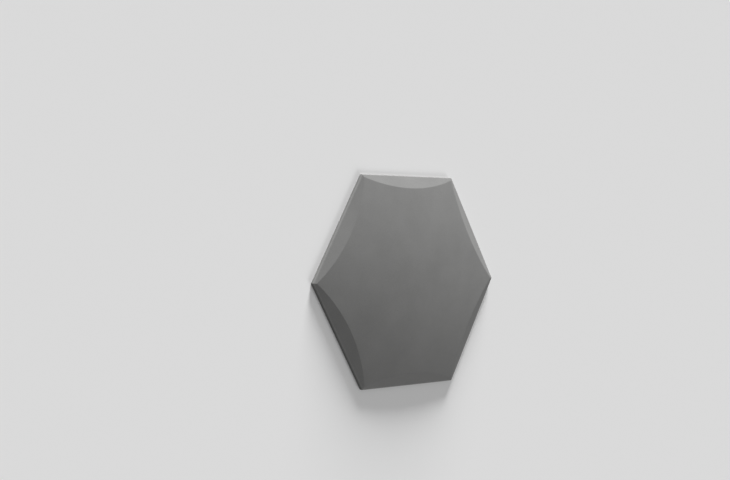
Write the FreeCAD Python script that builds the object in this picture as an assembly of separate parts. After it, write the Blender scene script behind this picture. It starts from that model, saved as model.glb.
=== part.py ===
import FreeCAD, Part
import math
import os

# Hexagonal wall tile with a raised relief face, cast in one piece.
# The tile lies on its flat back. The origin is the centre of the back, +Z points out of the face, +X points at a
# corner and +Y at a flat side. Sizes are in millimetres and angles in degrees.

# Outline
SIDES = 6
SIDE_LENGTH = 150.0

# Thickness
EDGE_THICKNESS = 4.8
CENTRE_THICKNESS = 20.5

# Slope of the facet that rises from each side
FACET_ANGLE = 24.5

# Height of the dome over the corners of the rim
CORNER_RISE = 0.8

# Eased edges, which let the casting leave its mould without chipping
FACE_ARRIS_RADIUS = 1.0
BACK_ARRIS_RADIUS = 0.5

# Worked out from the sizes above
CORNER_REACH = SIDE_LENGTH / (2.0 * math.sin(math.pi / SIDES))
SIDE_REACH = SIDE_LENGTH / (2.0 * math.tan(math.pi / SIDES))
PYRAMID_HEIGHT = SIDE_REACH * math.tan(math.radians(FACET_ANGLE))
DOME_RISE = CENTRE_THICKNESS - EDGE_THICKNESS - CORNER_RISE
DOME_RADIUS = (CORNER_REACH ** 2 + DOME_RISE ** 2) / (2.0 * DOME_RISE)


def outline(height):
    """Return the closed outline of the tile at one height."""
    corners = []
    for index in range(SIDES + 1):
        turn = 2.0 * math.pi * index / SIDES
        corners.append(FreeCAD.Vector(CORNER_REACH * math.cos(turn), CORNER_REACH * math.sin(turn), height))
    return Part.makePolygon(corners)


def rim():
    """Return the thin straight-sided slab whose edge butts against the next tile."""
    return Part.Face(outline(0.0)).extrude(FreeCAD.Vector(0.0, 0.0, EDGE_THICKNESS))


def pyramid():
    """Return the pyramid on the rim whose sloping sides are the planes of the facets."""
    peak = Part.Vertex(0.0, 0.0, EDGE_THICKNESS + PYRAMID_HEIGHT)
    return Part.makeLoft([outline(EDGE_THICKNESS), peak], True, True)


def dome():
    """Return the ball whose crown is the face of the tile, turned so that its seam lies far below."""
    centre = FreeCAD.Vector(0.0, 0.0, CENTRE_THICKNESS - DOME_RADIUS)
    axis = FreeCAD.Vector(1.0, 0.0, 0.0)
    ball = Part.makeSphere(DOME_RADIUS, centre, axis)
    ball.rotate(centre, axis, 180.0)
    return ball


def ease_edges(casting):
    """Return the casting with its face, corners and rim rounded, and the edge of its back rounded less."""
    middle_of_rim = 0.5 * EDGE_THICKNESS
    face_edges = [edge for edge in casting.Edges if edge.BoundBox.ZMax > middle_of_rim]
    casting = casting.makeFillet(FACE_ARRIS_RADIUS, face_edges)
    back_edges = [edge for edge in casting.Edges if edge.BoundBox.ZMax < middle_of_rim]
    return casting.makeFillet(BACK_ARRIS_RADIUS, back_edges)


def wall_tile():
    """Return the finished tile: the faceted block, cut by the dome where the dome is lower."""
    block = rim().fuse(pyramid())
    casting = block.common(dome()).removeSplitter().Solids[0]
    return ease_edges(casting)


os.makedirs("parts", exist_ok=True)
wall_tile().exportStep("parts/wall_tile.step")
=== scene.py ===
"""Looks of a hexagonal relief wall tile, cast in one piece and lying on its flat back.

The tile's form follows a rule, so Geometry Nodes make it: one sixth of its skin, from the dome over
a sloping facet and round the rim to the back, is repeated round the centre, and two quilted hearts
close the dome and the back. Lengths are in metres, and angles in degrees unless radians are named.
+Z points out of the face, +X at a corner and +Y at a flat side.
"""

import logging
import math
from dataclasses import dataclass
from enum import Enum
from typing import Any, Union

import bpy
from mathutils import Euler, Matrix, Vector


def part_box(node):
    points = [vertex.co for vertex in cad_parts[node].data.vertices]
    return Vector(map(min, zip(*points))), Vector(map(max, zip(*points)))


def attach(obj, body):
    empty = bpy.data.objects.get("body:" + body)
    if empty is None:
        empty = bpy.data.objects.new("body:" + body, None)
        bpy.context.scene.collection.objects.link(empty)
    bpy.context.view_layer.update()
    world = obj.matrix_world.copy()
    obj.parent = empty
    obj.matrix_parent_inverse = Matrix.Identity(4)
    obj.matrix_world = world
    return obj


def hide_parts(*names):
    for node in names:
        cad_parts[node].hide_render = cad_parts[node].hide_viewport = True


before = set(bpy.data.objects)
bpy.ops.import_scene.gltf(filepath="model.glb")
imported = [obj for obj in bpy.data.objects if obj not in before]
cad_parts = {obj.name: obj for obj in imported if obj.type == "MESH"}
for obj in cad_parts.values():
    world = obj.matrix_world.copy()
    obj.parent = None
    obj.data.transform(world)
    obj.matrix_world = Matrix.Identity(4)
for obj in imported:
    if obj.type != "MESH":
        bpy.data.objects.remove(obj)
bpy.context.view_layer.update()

LOG = logging.getLogger("wall_tile")
MILLIMETRE = 0.001
NOISE_MEAN = 0.5
SIDES = 6

# Angles in radians: a quarter of a turn, the turn from one side to the next, and half of that.
QUARTER_TURN = 0.5 * math.pi
SIDE_TURN = 2.0 * math.pi / SIDES
HALF_SIDE_TURN = math.pi / SIDES

Number = Union["Value", float]


class Zone(Enum):
    """The zones of the skin from the dome outwards: the place of each in line, and its rows."""

    DOME = (0, 22)
    CREASE = (1, 8)
    FACET = (2, 14)
    FACE_ARRIS = (3, 8)
    RIM = (4, 6)
    BACK_ARRIS = (5, 5)
    BACK = (6, 10)

    @property
    def rows(self) -> int:
        """Return the number of mesh rows across the zone."""
        return self.value[1]


class Layer(Enum):
    """Names of the numbers that the mesh carries for its finish: worn edges, and the back."""

    ARRIS = "arris"
    BACK = "back"


class Mottle(Enum):
    """The noises in the tile: how many patches of each go into a metre, and its finer layers."""

    BLOTCHES = (11.0, 2.0)
    CLOUDS = (38.0, 4.0)
    HOLLOWS = (45.0, 2.0)
    PATCHES = (210.0, 3.0)
    GRAIN = (1300.0, 3.0)
    SAND = (2300.0, 1.0)


class Value:
    """A number that flows through a node tree. Its arithmetic adds Math nodes to the tree."""

    def __init__(self, tree: "NodeTree", socket: bpy.types.NodeSocket) -> None:
        """Keep the tree and the socket that gives the number.

        Args:
            tree: The tree that the socket belongs to.
            socket: The output that carries the number.
        """
        self.tree = tree
        self.socket = socket

    def __add__(self, other: Number) -> "Value":
        """Add."""
        return self.tree.math("ADD", self, other)

    def __radd__(self, other: Number) -> "Value":
        """Add to a plain number."""
        return self.tree.math("ADD", other, self)

    def __sub__(self, other: Number) -> "Value":
        """Subtract."""
        return self.tree.math("SUBTRACT", self, other)

    def __rsub__(self, other: Number) -> "Value":
        """Subtract from a plain number."""
        return self.tree.math("SUBTRACT", other, self)

    def __mul__(self, other: Number) -> "Value":
        """Multiply."""
        return self.tree.math("MULTIPLY", self, other)

    def __rmul__(self, other: Number) -> "Value":
        """Multiply a plain number."""
        return self.tree.math("MULTIPLY", other, self)

    def __truediv__(self, other: Number) -> "Value":
        """Divide."""
        return self.tree.math("DIVIDE", self, other)

    def __neg__(self) -> "Value":
        """Change the sign."""
        return self.tree.math("MULTIPLY", self, -1.0)

    def root(self) -> "Value":
        """Return the square root."""
        return self.tree.math("SQRT", self)

    def sine(self) -> "Value":
        """Return the sine of this number of radians."""
        return self.tree.math("SINE", self)

    def cosine(self) -> "Value":
        """Return the cosine of this number of radians."""
        return self.tree.math("COSINE", self)

    def tangent(self) -> "Value":
        """Return the tangent of this number of radians."""
        return self.tree.math("TANGENT", self)

    def size(self) -> "Value":
        """Return the number without its sign."""
        return self.tree.math("ABSOLUTE", self)


class NodeTree:
    """A node tree under construction, for geometry or for a material."""

    def __init__(self, tree: bpy.types.NodeTree) -> None:
        """Keep the Blender tree and empty it.

        Args:
            tree: The tree that nodes are added to.
        """
        self.tree = tree
        self.tree.nodes.clear()

    def node(
        self, kind: str, inputs: dict[Union[str, int], Any] | None = None, **settings: Any
    ) -> bpy.types.Node:
        """Add a node.

        Args:
            kind: Blender's name for the type of node.
            inputs: What goes into its sockets, by name or place: a Value, an output or a constant.
            settings: The node's own options.

        Returns:
            The new node.
        """
        node = self.tree.nodes.new(kind)
        for name, setting in settings.items():
            setattr(node, name, setting)
        for name, given in (inputs or {}).items():
            self.feed(node.inputs[name], given)
        return node

    def feed(self, socket: bpy.types.NodeSocket, given: Any) -> None:
        """Link an output to a socket, or set the socket's constant.

        Args:
            socket: The input to fill.
            given: A Value, an output socket or a constant.
        """
        if isinstance(given, Value):
            given = given.socket
        if isinstance(given, bpy.types.NodeSocket):
            self.tree.links.new(given, socket)
        else:
            socket.default_value = given

    def value(self, socket: bpy.types.NodeSocket) -> Value:
        """Return a socket as a number to reckon with."""
        return Value(self, socket)

    def math(self, operation: str, *terms: Number) -> Value:
        """Add a Math node.

        Args:
            operation: Blender's name for the operation.
            terms: The numbers that it works on.

        Returns:
            The result.
        """
        node = self.node("ShaderNodeMath", dict(enumerate(terms)), operation=operation)
        return self.value(node.outputs[0])

    def vector(self, x: Number, y: Number, z: Number) -> bpy.types.NodeSocket:
        """Return the vector made of three numbers."""
        return self.node("ShaderNodeCombineXYZ", {"X": x, "Y": y, "Z": z}).outputs[0]

    def parts(self, vector: bpy.types.NodeSocket) -> tuple[Value, Value, Value]:
        """Return the three numbers of a vector."""
        x, y, z = self.node("ShaderNodeSeparateXYZ", {0: vector}).outputs
        return self.value(x), self.value(y), self.value(z)

    def colour(self, red: Number, green: Number, blue: Number) -> bpy.types.NodeSocket:
        """Return the colour made of three numbers."""
        return self.node("ShaderNodeCombineColor", {0: red, 1: green, 2: blue}).outputs[0]

    def noise(self, place: bpy.types.NodeSocket, mottle: Mottle) -> Value:
        """Add a soft noise.

        Args:
            place: Where on the tile it is read.
            mottle: Which of the tile's noises it is.

        Returns:
            The noise, between 0 and 1.
        """
        scale, detail = mottle.value
        inputs = {"Vector": place, "Scale": scale, "Detail": detail}
        return self.value(self.node("ShaderNodeTexNoise", inputs).outputs[0])

    def ramp(
        self, factor: Number, low: Number, high: Number, start: float = 0.0, end: float = 1.0
    ) -> Value:
        """Turn a range of a number into another range, and hold it at both ends.

        Args:
            factor: The number.
            low: Where the range begins.
            high: Where the range ends.
            start: The result at its beginning.
            end: The result at its end.

        Returns:
            The result.
        """
        inputs = {0: factor, 1: low, 2: high, 3: start, 4: end}
        return self.value(self.node("ShaderNodeMapRange", inputs, clamp=True).outputs[0])

    def store(
        self, geometry: bpy.types.NodeSocket, layer: Layer, value: Number
    ) -> bpy.types.NodeSocket:
        """Store a number at each point of a mesh.

        Args:
            geometry: The mesh.
            layer: The name to store it under.
            value: The number.

        Returns:
            The mesh with the number.
        """
        return self.node("GeometryNodeStoreNamedAttribute", {
            "Geometry": geometry,
            "Name": layer.value,
            "Value": value,
        }, data_type="FLOAT", domain="POINT").outputs[0]

    def stored(self, layer: Layer) -> Value:
        """Return the number that the mesh carries for a material."""
        node = self.node("ShaderNodeAttribute", attribute_name=layer.value)
        return self.value(node.outputs["Fac"])


@dataclass(frozen=True)
class TileSizes:
    """Sizes of the tile, in metres and degrees."""

    side_length: float
    centre_thickness: float
    edge_thickness: float = 4.8 * MILLIMETRE
    facet_angle: float = 24.5
    corner_rise: float = 0.8 * MILLIMETRE
    face_arris: float = 1.0 * MILLIMETRE
    back_arris: float = 0.5 * MILLIMETRE
    crease_reach: float = 0.45 * MILLIMETRE
    rubbed_reach: float = 2.2 * MILLIMETRE
    unevenness: float = 0.03 * MILLIMETRE

    @classmethod
    def from_frame(cls, node: str) -> "TileSizes":
        """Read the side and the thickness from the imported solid.

        Args:
            node: The name of the tile's CAD node.

        Returns:
            The sizes that fit this solid.
        """
        low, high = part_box(node)
        side_reach = 0.5 * (high[1] - low[1])
        return cls(
            side_length=2.0 * side_reach * math.tan(HALF_SIDE_TURN),
            centre_thickness=high[2] - low[2],
        )


@dataclass(frozen=True)
class Profile:
    """The tile's section, as numbers that flow from the named inputs of its tree."""

    side_reach: Value
    edge_thickness: Value
    slope_angle: Value
    dome_radius: Value
    dome_centre: Value
    face_arris: Value
    back_arris: Value
    crease_reach: Value
    rubbed_reach: Value
    heart_reach: Value

    def dome_height(self, x: Value, y: Value) -> Value:
        """Return the height of the dome over a place of the back."""
        return self.dome_centre + (self.dome_radius * self.dome_radius - x * x - y * y).root()


@dataclass(frozen=True)
class Effect:
    """How much a feature of the skin adds to its shade, its roughness and its relief."""

    shade: float = 0.0
    roughness: float = 0.0
    relief: float = 0.0


@dataclass(frozen=True)
class CastConcrete:
    """Fine cast concrete: smooth, grey, faintly clouded and grained, with pinholes and wear."""

    name: str = "cast_concrete"
    colour: tuple[float, float, float] = (0.198, 0.198, 0.195)
    roughness: float = 0.90
    sheen_level: float = 0.12
    relief_strength: float = 0.40
    relief_depth: float = 0.12 * MILLIMETRE

    clouds: Effect = Effect(shade=0.18, roughness=0.10)
    blotches: Effect = Effect(shade=0.10)
    grain: Effect = Effect(shade=0.28, roughness=0.16, relief=0.6)
    sand: Effect = Effect(shade=-0.16, relief=-0.1)
    rubbed: Effect = Effect(shade=0.16, roughness=-0.08, relief=0.8)
    # Pinholes sink the relief, and their darkening of the colour is painted shade inside each hole.
    pinholes_and_painted_shade: Effect = Effect(shade=-0.55, relief=-1.2)
    back: Effect = Effect(roughness=0.06)
    screed: Effect = Effect(shade=0.28, relief=4.0)

    # Ranges of a noise or of the wear over which a feature fades in.
    sand_range: tuple[float, float] = (0.60, 0.72)
    rubbed_range: tuple[float, float] = (0.45, 1.05)
    rubbed_patchiness: float = 0.9

    # Pinholes: cells in a metre, the share of cells without one, the radius of the largest one in
    # cells, and the share of each one's radius that is fully darkened by painted shade.
    pinhole_cells: float = 260.0
    pinhole_free: float = 0.55
    pinhole_radius: float = 0.085
    pinhole_core: float = 0.5

    # Screed marks: how many go into a metre along them and across them, and their layers and waver.
    marks_along: float = 9.0
    marks_across: float = 320.0
    mark_layers: float = 4.0
    mark_waver: float = 0.4

    def make(self) -> bpy.types.Material:
        """Build the material.

        Returns:
            The finished material.
        """
        material = bpy.data.materials.new(self.name)
        material.use_nodes = True
        tree = NodeTree(material.node_tree)
        place = tree.node("ShaderNodeTexCoord").outputs["Object"]
        clouds = tree.noise(place, Mottle.CLOUDS) - NOISE_MEAN
        blotches = tree.noise(place, Mottle.BLOTCHES) - NOISE_MEAN
        grain = tree.noise(place, Mottle.GRAIN) - NOISE_MEAN
        patches = tree.noise(place, Mottle.PATCHES) - NOISE_MEAN
        sand = tree.ramp(tree.noise(place, Mottle.SAND), *self.sand_range)
        # The pinhole mask: it sinks the relief and carries painted shade into the colour.
        pinholes_and_painted_shade = self.pinhole_marks(tree, place)
        wear = tree.stored(Layer.ARRIS) + patches * self.rubbed_patchiness
        rubbed = tree.ramp(wear, *self.rubbed_range)
        back = tree.stored(Layer.BACK)
        screed = back * (self.screed_marks(tree, place) - NOISE_MEAN)

        shade = 1.0 + clouds * self.clouds.shade + blotches * self.blotches.shade
        shade = shade + grain * self.grain.shade + sand * self.sand.shade
        shade = shade + rubbed * self.rubbed.shade + screed * self.screed.shade
        # Painted shade darkens the colour in each pinhole.
        shade = shade * (1.0 + pinholes_and_painted_shade * self.pinholes_and_painted_shade.shade)
        red, green, blue = self.colour
        colour = tree.colour(shade * red, shade * green, shade * blue)

        roughness = self.roughness + clouds * self.clouds.roughness + grain * self.grain.roughness
        roughness = roughness + rubbed * self.rubbed.roughness + back * self.back.roughness
        relief = grain * self.grain.relief + sand * self.sand.relief
        relief = relief + pinholes_and_painted_shade * self.pinholes_and_painted_shade.relief
        relief = relief + rubbed * patches * self.rubbed.relief + screed * self.screed.relief
        bump = tree.node("ShaderNodeBump", {
            "Strength": self.relief_strength,
            "Distance": self.relief_depth,
            "Height": relief,
        })
        shader = tree.node("ShaderNodeBsdfPrincipled", {
            "Base Color": colour,
            "Roughness": roughness,
            "Specular IOR Level": self.sheen_level,
            "Normal": bump.outputs[0],
        })
        tree.node("ShaderNodeOutputMaterial", {"Surface": shader.outputs[0]})
        return material

    def screed_marks(self, tree: NodeTree, place: bpy.types.NodeSocket) -> Value:
        """Add the marks of the bar that struck the back of the casting level, which run across it.

        Args:
            tree: The material's tree.
            place: Where on the tile they are read.

        Returns:
            The marks, between 0 and 1.
        """
        x, y, z = tree.parts(place)
        along, across = self.marks_along, self.marks_across
        stretched = tree.vector(x * along, y * across, z * along)
        node = tree.node("ShaderNodeTexNoise", {
            "Vector": stretched,
            "Scale": 1.0,
            "Detail": self.mark_layers,
            "Distortion": self.mark_waver,
        })
        return tree.value(node.outputs[0])

    def pinhole_marks(self, tree: NodeTree, place: bpy.types.NodeSocket) -> Value:
        """Add the small air holes of a casting, which lie far apart and differ in size.

        Args:
            tree: The material's tree.
            place: Where on the tile they are read.

        Returns:
            1 in a hole, where the colour is darkened with painted shade, and 0 beside it.
        """
        cells = tree.node("ShaderNodeTexVoronoi", {"Vector": place, "Scale": self.pinhole_cells})
        distance = tree.value(cells.outputs["Distance"])
        draw = tree.parts(cells.outputs["Color"])[0]
        radius = tree.ramp(draw, self.pinhole_free, 1.0, 0.0, self.pinhole_radius)
        return tree.ramp(distance, radius * self.pinhole_core, radius, 1.0, 0.0)


@dataclass
class WallTile:
    """The tile, made by Geometry Nodes and turned into a plain mesh."""

    sizes: TileSizes
    finish: CastConcrete
    name: str = "tile_skin"
    node: str = "wall_tile"
    slot: str = "cast_concrete"
    columns: int = 72
    crowding: float = 0.9
    heart_share: float = 0.6
    corner_softness: float = 0.8
    crease_wear: float = 0.4
    weld: float = 0.01 * MILLIMETRE

    def build(self) -> bpy.types.Object:
        """Make the tile and put it in place of its solid.

        Returns:
            The finished object.
        """
        material = self.finish.make()
        tree, sockets = self.tree()
        holder_name = self.name + "_holder"
        holder = bpy.data.objects.new(holder_name, bpy.data.meshes.new(holder_name))
        bpy.context.scene.collection.objects.link(holder)
        modifier = holder.modifiers.new("casting", "NODES")
        modifier.node_group = tree
        for label, given in self.inputs(material).items():
            modifier[sockets[label]] = given
        holder.update_tag()
        graph = bpy.context.evaluated_depsgraph_get()
        mesh = bpy.data.meshes.new_from_object(
            holder.evaluated_get(graph), preserve_all_data_layers=True, depsgraph=graph)
        mesh.name = self.name
        # The grids of the tree bring an empty slot of their own, so the list is made anew.
        mesh.materials.clear()
        mesh.materials.append(material)
        holder.modifiers.remove(modifier)
        bpy.data.objects.remove(holder)
        tile = bpy.data.objects.new(self.name, mesh)
        bpy.context.scene.collection.objects.link(tile)
        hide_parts(self.node)
        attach(tile, "root")
        return tile

    def inputs(self, material: bpy.types.Material | None) -> dict[str, Any]:
        """List what goes into the named inputs of the tree.

        Args:
            material: The finish, or None where only the names are wanted.

        Returns:
            What goes into each input.
        """
        return {
            "Side Length": self.sizes.side_length,
            "Centre Thickness": self.sizes.centre_thickness,
            "Edge Thickness": self.sizes.edge_thickness,
            "Facet Angle": math.radians(self.sizes.facet_angle),
            "Corner Rise": self.sizes.corner_rise,
            "Face Arris": self.sizes.face_arris,
            "Back Arris": self.sizes.back_arris,
            "Crease Reach": self.sizes.crease_reach,
            "Rubbed Reach": self.sizes.rubbed_reach,
            "Unevenness": self.sizes.unevenness,
            "Finish": material,
        }

    def tree(self) -> tuple[bpy.types.NodeTree, dict[str, str]]:
        """Build the Geometry Nodes tree.

        Returns:
            The tree, and the identifier of each named input.
        """
        group = bpy.data.node_groups.new("cast_tile", "GeometryNodeTree")
        tree = NodeTree(group)
        interface = group.interface
        interface.new_socket(name="Geometry", in_out="OUTPUT", socket_type="NodeSocketGeometry")
        sockets = {}
        for label in self.inputs(None):
            kind = "NodeSocketMaterial" if label == "Finish" else "NodeSocketFloat"
            socket = interface.new_socket(name=label, in_out="INPUT", socket_type=kind)
            sockets[label] = socket.identifier
        given = tree.node("NodeGroupInput").outputs
        profile = self.profile(tree, given)

        pieces = [
            self.repeat(tree, self.flank(tree, profile), SIDES, HALF_SIDE_TURN),
            self.repeat(tree, self.heart(tree, profile, domed=True), SIDES // 2, 0.0),
            self.repeat(tree, self.heart(tree, profile, domed=False), SIDES // 2, 0.0),
        ]
        join = tree.node("GeometryNodeJoinGeometry")
        for piece in reversed(pieces):
            tree.feed(join.inputs[0], piece)
        solid = tree.node("GeometryNodeRealizeInstances", {0: join.outputs[0]}).outputs[0]
        solid = tree.node("GeometryNodeMergeByDistance", {
            "Geometry": solid,
            "Distance": self.weld,
        }).outputs[0]
        solid = self.roughcast(tree, solid, tree.value(given["Unevenness"]))
        solid = tree.node("GeometryNodeSetShadeSmooth", {
            "Geometry": solid,
            "Shade Smooth": True,
        }).outputs[0]
        solid = tree.node("GeometryNodeSetMaterial", {
            "Geometry": solid,
            "Material": given["Finish"],
        }).outputs[0]
        tree.node("NodeGroupOutput", {"Geometry": solid})
        return group, sockets

    def profile(self, tree: NodeTree, given: bpy.types.bpy_prop_collection) -> Profile:
        """Work out the tile's section from the tree's named inputs.

        Args:
            tree: The tile's tree.
            given: The outputs of its input node.

        Returns:
            The numbers that the section is drawn with.
        """
        side_length = tree.value(given["Side Length"])
        centre_thickness = tree.value(given["Centre Thickness"])
        edge_thickness = tree.value(given["Edge Thickness"])
        corner_reach = side_length / (2.0 * math.sin(HALF_SIDE_TURN))
        side_reach = side_length / (2.0 * math.tan(HALF_SIDE_TURN))
        dome_rise = centre_thickness - edge_thickness - tree.value(given["Corner Rise"])
        dome_radius = (corner_reach * corner_reach + dome_rise * dome_rise) / (2.0 * dome_rise)
        return Profile(
            side_reach=side_reach,
            edge_thickness=edge_thickness,
            slope_angle=tree.value(given["Facet Angle"]),
            dome_radius=dome_radius,
            dome_centre=centre_thickness - dome_radius,
            face_arris=tree.value(given["Face Arris"]),
            back_arris=tree.value(given["Back Arris"]),
            crease_reach=tree.value(given["Crease Reach"]),
            rubbed_reach=tree.value(given["Rubbed Reach"]),
            heart_reach=side_reach * self.heart_share,
        )

    def crowd(self, share: Value) -> Value:
        """Move evenly spread shares from 0 to 1 towards both ends.

        Args:
            share: A share that runs evenly from 0 to 1.

        Returns:
            The moved share.
        """
        full_turn = 4.0 * QUARTER_TURN
        return share - (share * full_turn).sine() * (self.crowding / full_turn)

    @staticmethod
    def grid(tree: NodeTree, rows: int, columns: int) -> bpy.types.NodeSocket:
        """Add a flat grid that is 1 wide each way, with its middle at the centre.

        Args:
            tree: The tile's tree.
            rows: How many faces it has along X.
            columns: How many faces it has along Y.

        Returns:
            The mesh.
        """
        return tree.node("GeometryNodeMeshGrid", {
            "Size X": 1.0,
            "Size Y": 1.0,
            "Vertices X": rows + 1,
            "Vertices Y": columns + 1,
        }).outputs[0]

    @staticmethod
    def repeat(
        tree: NodeTree, piece: bpy.types.NodeSocket, times: int, first_turn: float
    ) -> bpy.types.NodeSocket:
        """Repeat a piece of the skin round the centre.

        Args:
            tree: The tile's tree.
            piece: The piece.
            times: How many there are in a full turn.
            first_turn: How far the first one is turned, in radians.

        Returns:
            The pieces as instances.
        """
        points = tree.node("GeometryNodePoints", {"Count": times}).outputs[0]
        index = tree.value(tree.node("GeometryNodeInputIndex").outputs[0])
        turn = tree.vector(0.0, 0.0, index * (2.0 * math.pi / times) + first_turn)
        rotation = tree.node("FunctionNodeEulerToRotation", {0: turn}).outputs[0]
        return tree.node("GeometryNodeInstanceOnPoints", {
            "Points": points,
            "Instance": piece,
            "Rotation": rotation,
        }).outputs[0]

    def flank(self, tree: NodeTree, profile: Profile) -> bpy.types.NodeSocket:
        """Make the skin along one side, from the dome over the facet and round the rim to the back.

        Args:
            tree: The tile's tree.
            profile: The tile's section.

        Returns:
            The mesh, with its side across +X.
        """
        rows = sum(zone.rows for zone in Zone)
        grid = self.grid(tree, rows, self.columns)
        across, along, _ = tree.parts(tree.node("GeometryNodeInputPosition").outputs[0])
        row = (across + 0.5) * float(rows)
        passed = {}
        first_row = 0
        for zone in Zone:
            passed[zone] = tree.ramp(row, float(first_row), float(first_row + zone.rows))
            first_row += zone.rows
        sideways = (self.crowd(along + 0.5) * 2.0 - 1.0) * math.tan(HALF_SIDE_TURN)

        # The crease, where the plane of the facet meets the dome on a ray from the centre.
        slant = (1.0 + sideways * sideways).root()
        slope = profile.slope_angle.tangent()
        lean = slope / slant
        stretch = 1.0 + lean * lean
        height_gap = profile.edge_thickness + slope * profile.side_reach - profile.dome_centre
        square_radius = profile.dome_radius * profile.dome_radius
        offset = (square_radius * stretch - height_gap * height_gap).root()
        crease_radius = (height_gap * lean - offset) / stretch
        crease = crease_radius / slant
        dome_slope = crease_radius * slant / (square_radius - crease_radius * crease_radius).root()

        # How far out a point lies, square to the side.
        arris = profile.face_arris
        arris_start = QUARTER_TURN - profile.slope_angle
        arris_turn = arris_start * (1.0 - passed[Zone.FACE_ARRIS])
        facet_end = profile.side_reach - arris * (1.0 - arris_start.cosine())
        back_end = profile.side_reach - profile.back_arris
        back_turn = passed[Zone.BACK_ARRIS] * QUARTER_TURN
        dome_done = self.crowd(passed[Zone.DOME])
        facet_done = self.crowd(passed[Zone.FACET])
        back_done = self.crowd(passed[Zone.BACK])
        dome_width = crease - profile.crease_reach - profile.heart_reach
        facet_width = facet_end - crease - profile.crease_reach
        back_passed = back_done * (back_end - profile.heart_reach)
        face_reach = profile.heart_reach + dome_done * dome_width
        face_reach = face_reach + passed[Zone.CREASE] * (2.0 * profile.crease_reach)
        face_reach = face_reach + facet_done * facet_width
        reach = face_reach + arris * (arris_turn.cosine() - arris_start.cosine())
        reach = reach - profile.back_arris * (1.0 - back_turn.cosine())
        reach = reach - back_passed

        # The corners are rounded where this side and the next one meet.
        softness = arris * self.corner_softness * dome_done * (1.0 - back_done)
        next_side = reach * math.cos(SIDE_TURN) + (reach * sideways).size() * math.sin(SIDE_TURN)
        x = reach * reach / tree.math("SMOOTH_MAX", reach, next_side, softness)
        y = x * sideways

        # The face is the lower of facet and dome, and falls away round the arris, rim and back.
        facet_height = profile.edge_thickness + slope * (profile.side_reach - face_reach)
        crease_softness = profile.crease_reach * (slope - dome_slope)
        arris_drop = arris * (1.0 - profile.slope_angle.sine()) / profile.slope_angle.cosine()
        rim_height = profile.edge_thickness - arris_drop - profile.back_arris
        z = tree.math("SMOOTH_MIN", facet_height, profile.dome_height(x, y), crease_softness)
        z = z + arris * (arris_turn.sine() - arris_start.sine())
        z = z - passed[Zone.RIM] * rim_height
        z = z - profile.back_arris * back_turn.sine()

        # Wear fades away from both arrises of the rim, from the corners and, less, from the crease.
        reaches = (0.0, profile.rubbed_reach, 1.0, 0.0)
        from_edge = facet_end - face_reach + back_passed
        from_corner = reach * (math.tan(HALF_SIDE_TURN) - sideways.size())
        outer = passed[Zone.CREASE] * (1.0 - passed[Zone.BACK])
        wear = tree.ramp((face_reach - crease).size(), *reaches) * self.crease_wear
        for other in (
            tree.ramp(from_edge + passed[Zone.RIM] * rim_height, *reaches),
            tree.ramp(from_edge + (1.0 - passed[Zone.RIM]) * rim_height, *reaches),
            tree.ramp(from_corner, *reaches) * outer,
        ):
            wear = tree.math("MAXIMUM", wear, other)
        skin = tree.store(grid, Layer.ARRIS, wear)
        skin = tree.store(skin, Layer.BACK, passed[Zone.BACK_ARRIS])
        return self.place(tree, skin, tree.vector(x, y, z))

    def heart(self, tree: NodeTree, profile: Profile, domed: bool) -> bpy.types.NodeSocket:
        """Make a third of the quilted middle, a rhombus between two sides.

        Args:
            tree: The tile's tree.
            profile: The tile's section.
            domed: True for the face, and False for the flat back.

        Returns:
            The mesh, with one edge along +X.
        """
        grid = self.grid(tree, self.columns, self.columns)
        first, second, _ = tree.parts(tree.node("GeometryNodeInputPosition").outputs[0])
        corner_reach = profile.heart_reach / math.cos(HALF_SIDE_TURN)
        first = self.crowd(first + 0.5) * corner_reach
        second = self.crowd(second + 0.5) * corner_reach
        opening = 2.0 * SIDE_TURN
        x = first + second * math.cos(opening)
        y = second * math.sin(opening)
        z = profile.dome_height(x, y) if domed else 0.0
        skin = self.place(tree, grid, tree.vector(x, y, z))
        skin = tree.store(skin, Layer.BACK, 0.0 if domed else 1.0)
        if domed:
            return skin
        return tree.node("GeometryNodeFlipFaces", {0: skin}).outputs[0]

    @staticmethod
    def place(
        tree: NodeTree, skin: bpy.types.NodeSocket, position: bpy.types.NodeSocket
    ) -> bpy.types.NodeSocket:
        """Put each point of a mesh in its place.

        Args:
            tree: The tile's tree.
            skin: The mesh.
            position: Where each point goes.

        Returns:
            The mesh with its points in place.
        """
        inputs = {"Geometry": skin, "Position": position}
        return tree.node("GeometryNodeSetPosition", inputs).outputs[0]

    @staticmethod
    def roughcast(
        tree: NodeTree, solid: bpy.types.NodeSocket, depth: Value
    ) -> bpy.types.NodeSocket:
        """Sink the skin a little here and there, as a casting's is.

        Args:
            tree: The tile's tree.
            solid: The closed tile.
            depth: The deepest hollow.

        Returns:
            The uneven tile.
        """
        place = tree.node("GeometryNodeInputPosition").outputs[0]
        normal = tree.node("GeometryNodeInputNormal").outputs[0]
        rise = -(tree.noise(place, Mottle.HOLLOWS) * depth)
        offset = tree.node("ShaderNodeVectorMath", {0: normal, "Scale": rise}, operation="SCALE")
        inputs = {"Geometry": solid, "Offset": offset.outputs[0]}
        return tree.node("GeometryNodeSetPosition", inputs).outputs[0]


@dataclass(frozen=True)
class Lamp:
    """A large soft studio lamp, far enough away to light the floor and the tile evenly."""

    name: str
    azimuth: float
    elevation: float
    softness: float
    strength: float
    distance: float = 2.0

    def hang(self) -> bpy.types.Object:
        """Add the lamp to the scene.

        Returns:
            The lamp's object.
        """
        light = bpy.data.lights.new(self.name, "SUN")
        light.angle = math.radians(self.softness)
        light.energy = self.strength
        lamp = bpy.data.objects.new(self.name, light)
        tilt = QUARTER_TURN - math.radians(self.elevation)
        turn = Euler((0.0, tilt, math.radians(self.azimuth)))
        lamp.rotation_euler = turn
        lamp.location = turn.to_matrix() @ Vector((0.0, 0.0, self.distance))
        bpy.context.scene.collection.objects.link(lamp)
        return lamp


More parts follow.
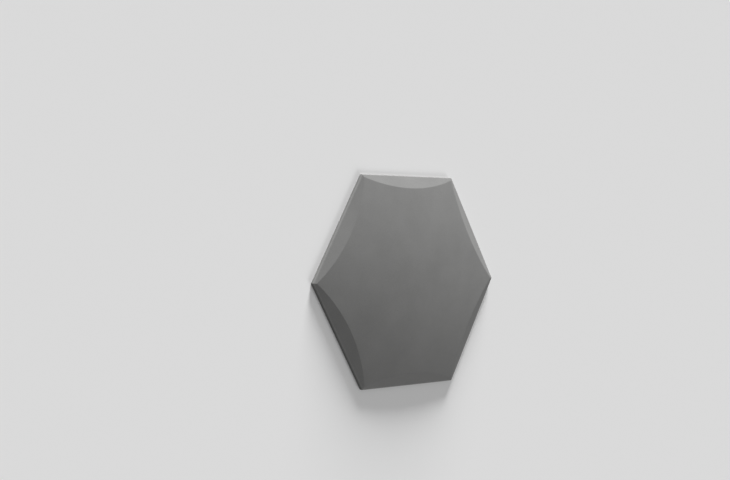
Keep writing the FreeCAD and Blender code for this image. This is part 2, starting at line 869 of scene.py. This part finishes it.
@dataclass(frozen=True)
class Studio:
    """The pale floor, the soft light and the camera."""

    floor_shade: float = 0.86
    floor_bounce: float = 0.50
    floor_width: float = 8.0
    ambient: float = 0.27
    lamps: tuple[Lamp, ...] = (
        Lamp("key_lamp", azimuth=80.0, elevation=8.0, softness=16.0, strength=8.3),
        Lamp("fill_lamp", azimuth=308.0, elevation=30.0, softness=30.0, strength=1.1),
    )
    camera_place: tuple[float, float, float] = (-1.0164, 0.0571, 1.1076)
    camera_turn: tuple[float, float, float] = (-0.254, -40.612, 0.0)
    focal_length: float = 59.5

    def build(self) -> None:
        """Set up the floor, the background, the lamps and the camera."""
        self.lay_floor()
        self.light_background()
        for lamp in self.lamps:
            lamp.hang()
            LOG.info("lamp %s: strength %.2f", lamp.name, lamp.strength)
        self.place_camera()
        bpy.context.scene.view_settings.view_transform = "Standard"

    def lay_floor(self) -> None:
        """Lay the plain pale floor that the tile rests on."""
        half = 0.5 * self.floor_width
        corners = [(-half, -half, 0.0), (half, -half, 0.0), (half, half, 0.0), (-half, half, 0.0)]
        mesh = bpy.data.meshes.new("floor")
        mesh.from_pydata(corners, [], [(0, 1, 2, 3)])
        floor = bpy.data.objects.new("floor", mesh)
        bpy.context.scene.collection.objects.link(floor)
        material = bpy.data.materials.new("pale_floor")
        material.use_nodes = True
        tree = NodeTree(material.node_tree)
        shade = self.floor_bounce + self.seen(tree) * (self.floor_shade - self.floor_bounce)
        shader = tree.node("ShaderNodeBsdfPrincipled", {
            "Base Color": tree.colour(shade, shade, shade),
            "Roughness": 1.0,
            "Specular IOR Level": 0.0,
        })
        tree.node("ShaderNodeOutputMaterial", {"Surface": shader.outputs[0]})
        mesh.materials.append(material)

    def light_background(self) -> None:
        """Give the world a white backdrop for the camera and a weak even light for the rest."""
        world = bpy.data.worlds.new("studio")
        world.use_nodes = True
        tree = NodeTree(world.node_tree)
        background = tree.node("ShaderNodeBackground", {
            "Color": (1.0, 1.0, 1.0, 1.0),
            "Strength": self.ambient + self.seen(tree) * (1.0 - self.ambient),
        })
        tree.node("ShaderNodeOutputWorld", {"Surface": background.outputs[0]})
        bpy.context.scene.world = world

    @staticmethod
    def seen(tree: NodeTree) -> Value:
        """Tell where the surroundings are seen, directly or in a gloss, and not only give light.

        Args:
            tree: The tree of the floor or of the world.

        Returns:
            1 where they are seen, and 0 where they only give light.
        """
        path = tree.node("ShaderNodeLightPath").outputs
        camera, gloss = tree.value(path["Is Camera Ray"]), tree.value(path["Is Glossy Ray"])
        glass = tree.value(path["Is Transmission Ray"])
        return tree.math("MAXIMUM", tree.math("MAXIMUM", camera, gloss), glass)

    def place_camera(self) -> None:
        """Put the camera where the photograph was taken from, relative to the tile."""
        lens = bpy.data.cameras.new("camera")
        lens.lens = self.focal_length
        camera = bpy.data.objects.new("camera", lens)
        camera.location = self.camera_place
        camera.rotation_euler = tuple(math.radians(angle) for angle in self.camera_turn)
        bpy.context.scene.collection.objects.link(camera)
        bpy.context.scene.camera = camera


def main() -> None:
    """Build the tile and its studio, and report each piece."""
    logging.basicConfig(level=logging.INFO, format="%(name)s: %(message)s")
    tile = WallTile(TileSizes.from_frame("wall_tile"), CastConcrete()).build()
    LOG.info("%s: %d faces", tile.name, len(tile.data.polygons))
    Studio().build()


if __name__ == "__main__":
    main()
